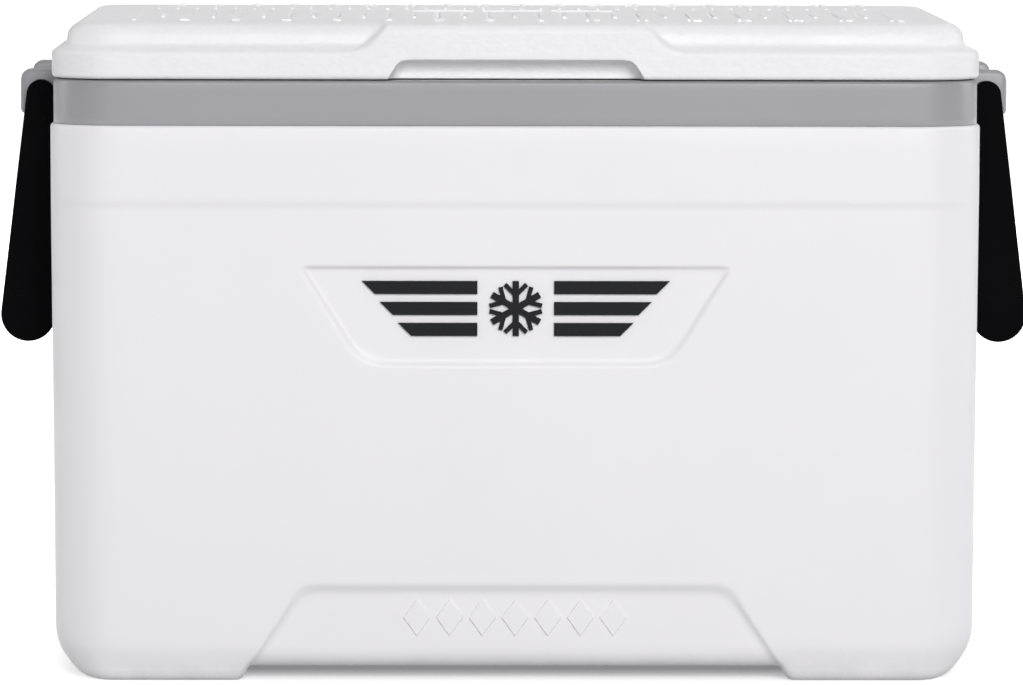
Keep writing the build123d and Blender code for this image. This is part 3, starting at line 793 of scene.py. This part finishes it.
# ---- Handles ----
ARM_Y = (0.0568, 0.0660)
ARM_TOP = 0.0081
ARM_LOBE = 0.0139
ARM_TOP_SHIFT = 0.001        # the arm's top is this much slimmer on its outer side
LOBE_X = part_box("handle_frame_right")[1].x - ARM_LOBE
GRIP_LOW, GRIP_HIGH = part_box("handle_grip_right")
GRIP_X = (GRIP_LOW.x + GRIP_HIGH.x) / 2
GRIP_Z = (GRIP_LOW.z + GRIP_HIGH.z) / 2
ARM_EDGE = 0.0013            # rounding along an arm's outline
BAR_RADIUS = 0.0062          # the bar inside the grip
GRIP_RADIUS = (0.0112, 0.0144)  # the grip at its ends and at its middle
GRIP_END = 0.0058            # radius of the opening at the grip's ends
RING_PLACES = (0.006, 0.010)  # the two rings, from the grip's end
RING_WIDTH = 0.0009
RING_DEPTH = 0.0006
COLLAR = (0.0015, 0.0012)    # length and depth of the rolled end


def hull_of_circles(a, b, radius_a, radius_b, steps=26):
    """Outline round two circles and their outer tangents, anticlockwise."""
    away = b - a
    heading = math.atan2(away[1], away[0])
    lean = math.acos((radius_a - radius_b) / np.hypot(*away))
    outline = []
    for angle in np.linspace(heading - lean, heading + lean, steps):
        outline.append((b[0] + radius_b * math.cos(angle), b[1] + radius_b * math.sin(angle)))
    for angle in np.linspace(heading + lean, heading + 2 * math.pi - lean, steps):
        outline.append((a[0] + radius_a * math.cos(angle), a[1] + radius_a * math.sin(angle)))
    return outline


def make_handle(name, side):
    body = f"handle_{name}"
    pivot = PIVOTS[body]
    top = np.array([pivot.x - side * ARM_TOP_SHIFT, pivot.z + ARM_TOP_SHIFT])
    lobe = np.array([side * LOBE_X, GRIP_Z])
    outline = hull_of_circles(top, lobe, ARM_TOP - ARM_TOP_SHIFT, ARM_LOBE)
    arms = []
    for end in (-1, 1):
        low, high = sorted((MID_Y + end * ARM_Y[0], MID_Y + end * ARM_Y[1]))
        arms.append(prism(outline, low, high, "y"))
    core = Vector((side * GRIP_X, 0, GRIP_Z))
    inner = ARM_Y[0] + 0.001
    arms.append(lathe([(MID_Y + y, BAR_RADIUS) for y in (-inner, inner)], core, 32))
    bail = make_piece(f"bail_{name}", arms)
    bevel(bail, ARM_EDGE, 4, 60.0)
    dress(bail, HANDLE_BLACK, body, "handle_black", f"handle_frame_{name}")
    grip = make_piece(f"grip_{name}", [lathe(grip_profile(), core, 64)])
    dress(grip, GRIP_BLACK, body, "grip_black", f"handle_grip_{name}")


def grip_profile():
    """Barrel with a rolled collar and two rings near each end: points are (y, radius)."""
    half = ARM_Y[0] - 0.0003
    knots = (0.0005, *RING_PLACES)
    knots = [-half + k for k in knots] + [half - k for k in knots]
    places = graded(-half, half, knots, 0.0005, 0.004, 0.3)
    profile = [(-half, GRIP_END)]
    for y in places:
        full = GRIP_RADIUS[0] + (GRIP_RADIUS[1] - GRIP_RADIUS[0]) * (1 - (y / half) ** 2)
        from_end = half - abs(y)
        rings = sum(math.exp(-(((from_end - place) / RING_WIDTH) ** 2)) for place in RING_PLACES)
        turn = 1 - min(from_end / COLLAR[0], 1)
        edge = COLLAR[1] * (1 - math.sqrt(max(0.0, 1 - turn**2)))
        profile.append((y, full - RING_DEPTH * rings - edge))
    profile.append((half, GRIP_END))
    return [(MID_Y + y, radius) for y, radius in profile]


for handle_name, handle_side in (("left", -1), ("right", 1)):
    make_handle(handle_name, handle_side)


# ---- Lid shell ----
LID_CORNER = 0.030
SHOULDER = 0.0140            # the lower tier's height, from the lid's bottom edge
PLATEAU_EDGE = 0.0140        # the plateau's edge, in from the lid's side
TOP_ROLL = 0.0046            # radius along the raised front's upper edge
BULGE_TOP = 0.0646           # the raised front's half-width at the plateau
BULGE_SWEEP = (0.0115, 0.0050)  # how much wider it is at the shoulder: evenly, and in the last curve
SCOOP_HALF = (0.0570, 0.0632)
SCOOP_HEIGHT = 0.0096
SCOOP_DEPTH = 0.0140
SCOOP_SIDE = 0.0045          # the hollow's side walls curve round to its back over this width
SCOOP_LIP = 0.0009
SCOOP_ROWS = 24
LIP_ROWS = 4
RULER_INCH = 0.0254
GROOVE_WIDTH = 0.0015
GROOVE_DEPTH = 0.0014
GROOVE_SPANS = ((0.080, 0.150), (0.092, 0.138))  # long and short ticks, from the plateau's front
LID_WALL = 0.0025


def lid_profiles():
    """Profiles (inset, z) from the lid's bottom edge to its plateau: side, raised front and scoop."""
    low = LID_BOTTOM
    top = LID_TOP
    tier = low + SHOULDER
    roof = low + SCOOP_HEIGHT
    lip = roof + SCOOP_LIP
    edge = arc((0.0022, low + 0.0022), 0.0022, -90, -180, 6) + [(0, roof)]
    rim = [(0, roof), (0, lip)]
    tiers = (
        [(0, lip)]
        + arc((0.0030, tier - 0.0026), 0.0030, 180, 112, 8)
        + [(0.0044, tier + 0.0012), (0.0060, tier + 0.0020)]
        + [(0.0071, tier + 0.0029), (0.0076, tier + 0.0040)]
        + arc((0.0156, top - 0.0078), 0.0078, 172, 92, 18)
        + [(0.0180, top), (0.0210, top), (LID_CORNER, top)]
    )
    tiers = np.array(tiers)
    below_top = np.clip(tiers[:, 1] - (top - TOP_ROLL), 0, TOP_ROLL)
    roll = TOP_ROLL - np.sqrt(TOP_ROLL**2 - below_top**2)
    flat = tiers[:, 1] >= top - 1e-9
    roll[flat] = np.interp(tiers[flat, 0], (0.0170, LID_CORNER), (0.0075, LID_CORNER))
    raised = np.stack([roll, tiers[:, 1]], axis=1)
    hollow = (
        [(SCOOP_DEPTH, low), (SCOOP_DEPTH, low + 0.0030)]
        + arc((SCOOP_DEPTH - 0.0052, low + 0.0035), 0.0052, 0, 86, 9)
        + [(SCOOP_LIP, roof)]
    )
    turn = arc((SCOOP_LIP, lip), SCOOP_LIP, -90, -180, 5)
    plain = [resample(edge, SCOOP_ROWS + 1)[:-1], resample(rim, LIP_ROWS + 1)[:-1]]
    side = np.concatenate(plain + [tiers])
    front = np.concatenate(plain + [raised])
    scoop = np.concatenate(
        [resample(hollow, SCOOP_ROWS + 1)[:-1], resample(turn, LIP_ROWS + 1)[:-1], raised]
    )
    return side, front, scoop


def scoop_line(z):
    """Half-width of the finger hollow at height z, with rounded upper corners."""
    low = LID_BOTTOM
    roof = low + SCOOP_HEIGHT
    half = np.interp(z, (low, roof), SCOOP_HALF[::-1])
    climb = np.clip((z - (roof - 0.0030)) / 0.0030, 0, 1)
    turn = 0.0026 * (1 - math.sqrt(1 - climb**2))
    back = np.clip((z - roof - 0.001) / 0.008, 0, 1)
    return float(half - turn * (1 - back))


def bulge_line(z):
    """Half-width of the raised front at height z: it sweeps out along the shoulder."""
    down = np.clip((LID_TOP - z) / (LID_TOP - LID_BOTTOM - SHOULDER), 0, 1)
    return float(BULGE_TOP + BULGE_SWEEP[0] * down + BULGE_SWEEP[1] * down**4)


def inch_places():
    """Where the sixteen inch numerals stand, along X."""
    return [RULER_INCH * (k - 7.5) for k in range(16)]


def tick_places():
    """Where the ticks lie, along X: one at each numeral and one halfway to the next."""
    return [RULER_INCH * (k / 2 - 7.5) for k in range(31)]


def lid_lines():
    knots = sorted({round(abs(x), 6) for x in tick_places()} | {SCOOP_HALF[0], BULGE_TOP})
    front = graded(0, LID_X - LID_CORNER, knots, 0.00054, 0.0095, 0.5)
    end = graded(0, LID_Y - LID_CORNER, [], 0.001, 0.006)
    return mirrored(front), mirrored(end)


def make_lid():
    front_lines, end_lines = lid_lines()
    ring = Ring(LID_X, LID_Y, LID_CORNER, front_lines, end_lines, 12)
    side, raised, scoop = lid_profiles()
    own = np.abs(ring.core[:, :1])
    front = (ring.kind == "front")[:, None]
    bulge = np.where(front, 1 - smooth((own - BULGE_TOP) / 0.0030 + 0.5), 0.0)
    reach = np.clip((SCOOP_HALF[0] - own) / SCOOP_SIDE, 0, 1)
    cut = np.where(front, np.sqrt(1 - (1 - reach) ** 2), 0.0)
    face = side[None] * (1 - bulge[:, :, None]) + raised[None] * bulge[:, :, None]
    inset, z = np.moveaxis(face * (1 - cut[:, :, None]) + scoop[None] * cut[:, :, None], 2, 0)
    end = LID_X - LID_CORNER
    slant = slanted([(SCOOP_HALF[0], scoop_line), (BULGE_TOP, bulge_line), (end, lambda z: end)])

    def front_slant(x, z):
        return np.where(front, slant(x, z), x)

    skin = ring.skin(ring.place(inset, z, front_slant))
    start_y = -LID_Y + PLATEAU_EDGE

    def top(x, y):
        """The plateau, with a groove at each tick of the two scales."""
        groove = np.zeros_like(x)
        for index, place in enumerate(tick_places()):
            across = 1 - smooth(np.abs(x - place) / (GROOVE_WIDTH / 2))
            near, far = GROOVE_SPANS[index % 2]
            along = smooth((y - start_y - near) / 0.003) * (1 - smooth((y - start_y - far) / 0.003))
            groove = np.maximum(groove, across * along)
        return LID_TOP - GROOVE_DEPTH * groove

    lid = make_piece("lid", [skin, floor_grid(front_lines, end_lines, top, True)], 50.0)
    thicken(lid, LID_WALL)
    dress(lid, LID_WHITE, "lid", "lid_white", "lid_shell")


make_lid()


# ---- Ruler marks on the lid ----
MARK_PROUD = 0.0010
MARK_ROOT = 0.0003           # dots and bars start this far under the plateau
INCH_ROW = 0.0305            # rows of marks, back from the plateau's front
INCH_DOT_ROW = 0.070
BAR_ROW = 0.165
CENTIMETRE_DOT_ROW = 0.190
CENTIMETRE_ROW = 0.016       # from the plateau's rear
CENTIMETRES = 38


def dome(x, y, radius, height):
    """Low round dot standing on the plateau."""
    points = []
    around = 14
    levels = [(1.0, -MARK_ROOT), (0.97, height * 0.35), (0.8, height * 0.75), (0.45, height)]
    for factor, lift in levels:
        for k in range(around):
            a = 2 * math.pi * k / around
            away = radius * factor
            points.append((x + away * math.cos(a), y + away * math.sin(a), LID_TOP + lift))
    faces = grid_faces(len(levels), around, wrap_columns=True, turned=True)
    faces.append([(len(levels) - 1) * around + k for k in range(around)])
    faces.append(list(range(around))[::-1])
    return points, faces


def numeral(text, x, y, size):
    """Raised numeral as a mesh part."""
    curve = bpy.data.curves.new("numeral", "FONT")
    curve.body = text
    curve.size = size
    curve.align_x = "CENTER"
    curve.align_y = "CENTER"
    curve.extrude = MARK_PROUD / 2
    curve.bevel_depth = 0.00018
    curve.bevel_resolution = 1
    curve.offset = 0.00022
    holder = bpy.data.objects.new("numeral", curve)
    bpy.context.scene.collection.objects.link(holder)
    bpy.context.view_layer.update()
    mesh = bpy.data.meshes.new_from_object(holder)
    lift = Matrix.Translation((x, y, LID_TOP + MARK_PROUD / 2 - 0.0002))
    points = [tuple(lift @ v.co) for v in mesh.vertices]
    faces = [list(p.vertices) for p in mesh.polygons]
    bpy.data.objects.remove(holder)
    bpy.data.curves.remove(curve)
    bpy.data.meshes.remove(mesh)
    return points, faces


def strip(x_low, x_high, y, depth):
    """Plain raised bar along X."""
    near = y - depth / 2
    far = y + depth / 2
    outline = [(x_low, near), (x_high, near), (x_high, far), (x_low, far)]
    return prism(outline, LID_TOP - MARK_ROOT, LID_TOP + MARK_PROUD * 0.9, "z")


def make_ruler():
    front = MID_Y - LID_Y + PLATEAU_EDGE
    back = MID_Y + LID_Y - PLATEAU_EDGE
    marks = []
    for index, x in enumerate(inch_places()):
        marks.append(numeral(str(index + 1), x, front + INCH_ROW, 0.0085))
    for x in [RULER_INCH * (k - 7) for k in range(15)]:
        marks.append(dome(x, front + INCH_DOT_ROW, 0.0011, MARK_PROUD * 1.2))
    for index in range(CENTIMETRES):
        x = (index - (CENTIMETRES - 1) / 2) * 0.01
        marks.append(dome(x, front + CENTIMETRE_DOT_ROW, 0.0010, MARK_PROUD * 1.1))
        if index % 2:
            marks.append(numeral(str(index + 1), x, back - CENTIMETRE_ROW, 0.0078))
    ruler = make_piece("lid_ruler", marks, 30.0)
    dress(ruler, LID_WHITE, "lid", "lid_white")
    bars = [strip(x - 0.016, x + 0.016, front + BAR_ROW, 0.006) for x in (-0.036, 0.0, 0.036)]
    label = make_piece("lid_raised_bars", bars)
    bevel(label, 0.0004, 3)
    dress(label, LID_WHITE, "lid", "lid_white")


make_ruler()


# ---- Tub and lid plug ----
TRAY_CORNER = (0.0264, 0.012)  # corner radius at the rim, and the least it comes down to
FLANGE = 0.0254              # the tub's flange, from its rim to its mouth
TUB_DRAFT = 0.008
TUB_WALL = 0.0020
PLUG_WIDTH = 0.1975          # the plug's half-width where it leaves the panel


def make_tub():
    """The white tub, from its rim flange down to its floor."""
    half_x = LINER_HIGH.x
    half_y = (LINER_HIGH.y - LINER_LOW.y) / 2
    top = LINER_HIGH.z
    mouth = FLANGE
    floor = LINER_LOW.z + 0.0022
    draft = TUB_DRAFT
    profile = [(0.0, top - 0.0026), (0.0, top - 0.0004), (0.0006, top)]
    profile += [(0.004, top), (mouth - 0.0035, top)]
    profile += arc((mouth - 0.0035, top - 0.0035), 0.0035, 90, 0, 7)
    profile += [(mouth + draft * t, top - (top - floor) * t) for t in (0.2, 0.45, 0.7, 0.93)]
    base = mouth + draft
    profile += arc((base + 0.0135, floor + 0.0140), 0.0140, 180, 270, 10)
    profile += [(base + 0.022, floor)]
    tub = tray("tub", profile, half_x, half_y)
    thicken(tub, TUB_WALL)
    dress(tub, LINER_WHITE, "cooler_body", "liner_white", "inner_liner")


def tray(name, profile, half_x, half_y, notch=None):
    """Hollow moulding: rounded-rectangle rings that shrink by their inset down to a level floor.
    notch is a function giving how far the front edge must stand back at each x."""
    lines_x = mirrored(graded(0, half_x - 0.03, [SCOOP_HALF[1]], 0.0006, 0.03, 0.5))
    lines_y = mirrored(np.linspace(0, 1, 6))
    rings = []
    for inset, z in profile:
        width = half_x - inset
        depth = half_y - inset
        radius = max(TRAY_CORNER[0] - 0.18 * inset, TRAY_CORNER[1])
        across = lines_x / lines_x[-1] * (width - radius)
        size = (width, depth, radius)
        row = [(x, -depth, z) for x in across]
        row += corner_points(*size, -90, 1, -1, z)
        row += [(width, y * (depth - radius), z) for y in lines_y]
        row += corner_points(*size, 0, 1, 1, z)
        row += [(x, depth, z) for x in across[::-1]]
        row += corner_points(*size, 90, -1, 1, z)
        row += [(-width, y * (depth - radius), z) for y in lines_y[::-1]]
        row += corner_points(*size, 180, -1, -1, z)
        rings.append(row)
    points = np.array(rings)
    if notch:
        y = points[:, :, 1]
        line = -half_y + notch(points[:, :, 0])
        points[:, :, 1] = np.where(y < 0, np.maximum(y, line), y)
    points[:, :, 1] += MID_Y
    count = points.shape[1]
    faces = grid_faces(len(rings), count, wrap_columns=True, turned=True)
    faces.append([(len(rings) - 1) * count + i for i in range(count)])
    return make_piece(name, [(points.reshape(-1, 3), faces)], 40.0)


def corner_points(width, depth, radius, start, side_x, side_y, z, steps=10):
    """Points round one corner of a rounded rectangle, between its straight sides."""
    centre_x = side_x * (width - radius)
    centre_y = side_y * (depth - radius)
    angles = [math.radians(start + 90 * k / steps) for k in range(1, steps)]
    return [(centre_x + radius * math.cos(a), centre_y + radius * math.sin(a), z) for a in angles]


def make_plug():
    """The lid's underside: a flat margin, a shallow seal groove and the plug that enters the tub."""
    half_x = PLUG_HIGH.x
    half_y = (PLUG_HIGH.y - PLUG_LOW.y) / 2
    level = PLUG_HIGH.z - 0.0022
    bottom = PLUG_LOW.z
    margin = half_x - PLUG_WIDTH
    profile = [(0.0, level + 0.002), (0.0, level)]
    profile += [(0.0165, level), (0.0175, level + 0.0008), (0.0205, level + 0.0008), (0.0215, level)]
    profile += [(margin - 0.002, level), (margin, level - 0.0012)]
    profile += [(margin + 0.0016, bottom + 0.004)]
    profile += arc((margin + 0.0056, bottom + 0.0038), 0.0038, 180, 270, 7)
    profile += [(margin + 0.012, bottom)]
    back = LID_Y - SCOOP_DEPTH - 0.0026

    def notch(x):
        """The panel stands back round the finger hollow."""
        return (half_y - back) * (1 - smooth((np.abs(x) - SCOOP_HALF[1] - 0.0028) / 0.0012 + 0.5))

    underside = tray("lid_underside", profile, half_x, half_y, notch)
    for polygon in underside.data.polygons:
        polygon.flip()
    finish_mesh(underside.data, 40.0)
    dress(underside, LINER_WHITE, "lid", "liner_white", "lid_liner")


make_tub()
make_plug()


# ---- CAD pieces that stay, with finer edges and finished materials ----
KEPT = {
    "front_badge": (BADGE_BLACK, 0.0004),
    "hinge_body_screws": (STEEL, 0.0004),
    "hinge_lid_screws": (STEEL, 0.0004),
    "body_foam": (LINER_WHITE, 0),
    "lid_foam": (LINER_WHITE, 0),
}
for side_name in ("left", "right"):
    KEPT[f"hinge_body_leaf_{side_name}"] = (HINGE_GREY, 0.0005)
    KEPT[f"hinge_lid_leaf_{side_name}"] = (HINGE_GREY, 0.0005)
    KEPT[f"hinge_pin_{side_name}"] = (STEEL, 0.0003)
    KEPT[f"handle_pins_{side_name}"] = (PIN_GREY, 0.0004)
for node, (finish, edge_width) in KEPT.items():
    kept = frame["nodes"][node]
    paint(kept, finish)
    if edge_width:
        bevel(kept, edge_width, 2, 40.0)


# ---- Stage: floor, lights and camera ----
ROOM = 12.0                  # half the size of the studio's floor, and its backdrop's height
GLOW_EDGE = (SHELL_X - 0.05, SHELL_Y - 0.045)  # the paper's glow starts here, under the object
GLOW_NEAR = (0.065, 0.62)    # distance from there and glow where the contact shadow ends
GLOW_FAR = (0.35, 0.33)      # distance and added glow where the paper is at its brightest
WORLD_STRENGTH = 0.34
LIT_HEIGHT = 0.16            # the softboxes point at the object's middle, this high
SOFTBOXES = (                # name, place, size and power in watts
    ("key_softbox", (0.5, -3.4, 1.45), (1.8, 1.4), 86),
    ("top_softbox", (0.0, 0.5, 2.3), (2.0, 1.6), 6),
    ("left_softbox", (-2.4, 0.6, 0.9), (1.0, 1.4), 14),
    ("right_softbox", (2.4, 0.6, 0.9), (1.0, 1.4), 16),
    ("rear_softbox", (0.4, 3.2, 1.5), (2.2, 1.4), 60),
)


def make_floor():
    """Pale paper with painted light: it glows a little, more so away from the object, so the paper
    close by stays darker.
    """
    n = Nodes("floor_paper")
    paper = n.blend(n.noise(3.0), (0.93, 0.93, 0.93), (0.95, 0.95, 0.95))
    n.link(paper, n.shader.inputs["Base Color"])
    n.shader.inputs["Roughness"].default_value = 0.9
    n.shader.inputs["Emission Color"].default_value = (1, 1, 1, 1)
    split = n.tree.nodes.new("ShaderNodeSeparateXYZ")
    n.link(n.place, split.inputs[0])
    past = [
        n.math("MAXIMUM", n.math("SUBTRACT", n.math("ABSOLUTE", split.outputs[axis]), edge), 0.0)
        for axis, edge in zip("XY", GLOW_EDGE)
    ]
    squares = [n.math("MULTIPLY", p, p) for p in past]
    away = n.math("SQRT", n.math("ADD", *squares))
    # painted light: the glow is least beside the object, keeping a darker contact zone, and rises
    # away from it
    near = n.remap(away, 0.0, GLOW_NEAR[0], 0.0, GLOW_NEAR[1])
    far = n.remap(away, GLOW_NEAR[0], GLOW_FAR[0], 0.0, GLOW_FAR[1])
    n.link(n.math("ADD", near, far), n.shader.inputs["Emission Strength"])
    ground = [(x * ROOM, y * ROOM, 0) for x, y in ((-1, -1), (1, -1), (1, 1), (-1, 1))]
    above = [(x, y, ROOM) for x, y, _ in ground]
    walls = [[k, k + 4, (k + 1) % 4 + 4, (k + 1) % 4] for k in range(4)]
    floor = make_piece("studio_floor", [(ground, [[0, 1, 2, 3]])])
    backdrop = make_piece("studio_backdrop", [(ground + above, walls)])
    backdrop.visible_glossy = False
    for sheet in (floor, backdrop):
        sheet.visible_diffuse = False
        sheet.visible_shadow = False
        paint(sheet, n.material)
        sheet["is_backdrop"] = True


def area_light(name, place, target, size, power):
    lamp = bpy.data.lights.new(name, "AREA")
    lamp.shape = "RECTANGLE"
    lamp.size, lamp.size_y = size
    lamp.energy = power
    holder = add_object(name, lamp)
    holder.location = place
    holder.rotation_euler = (Vector(target) - Vector(place)).to_track_quat("-Z", "Y").to_euler()
    return holder


def make_stage():
    make_floor()
    world = bpy.data.worlds.new("studio")
    world.use_nodes = True
    background = world.node_tree.nodes["Background"]
    background.inputs["Color"].default_value = (1, 1, 1, 1)
    background.inputs["Strength"].default_value = WORLD_STRENGTH
    scene = bpy.context.scene
    scene.world = world
    for name, place, size, power in SOFTBOXES:
        lamp = area_light(name, place, (0, MID_Y, LIT_HEIGHT), size, power)
        lamp.visible_glossy = name != "rear_softbox"
    scene.view_settings.view_transform = "Standard"


CAMERA_PLACE = Vector((-0.040, SHELL_LOW.y - 3.25, 0.450))
CAMERA_TARGET = Vector((-0.0021, SHELL_LOW.y, 0.16985))
CAMERA_ROLL = math.radians(0.12)
LENS = 231.7


def make_camera():
    data = bpy.data.cameras.new("camera")
    data.lens = LENS
    data.sensor_width = 36.0
    data.clip_start = 0.1
    data.clip_end = 100.0
    camera = add_object("camera", data)
    camera.location = CAMERA_PLACE
    aim = (CAMERA_TARGET - CAMERA_PLACE).to_track_quat("-Z", "Y").to_matrix()
    camera.rotation_euler = (aim @ Matrix.Rotation(CAMERA_ROLL, 3, "Z")).to_euler()
    bpy.context.scene.camera = camera


make_stage()
make_camera()


def corners(box):
    return [[float(c) for c in corner] for corner in box]


{"cad": corners(CAD_BOX), "visual": corners(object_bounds())}
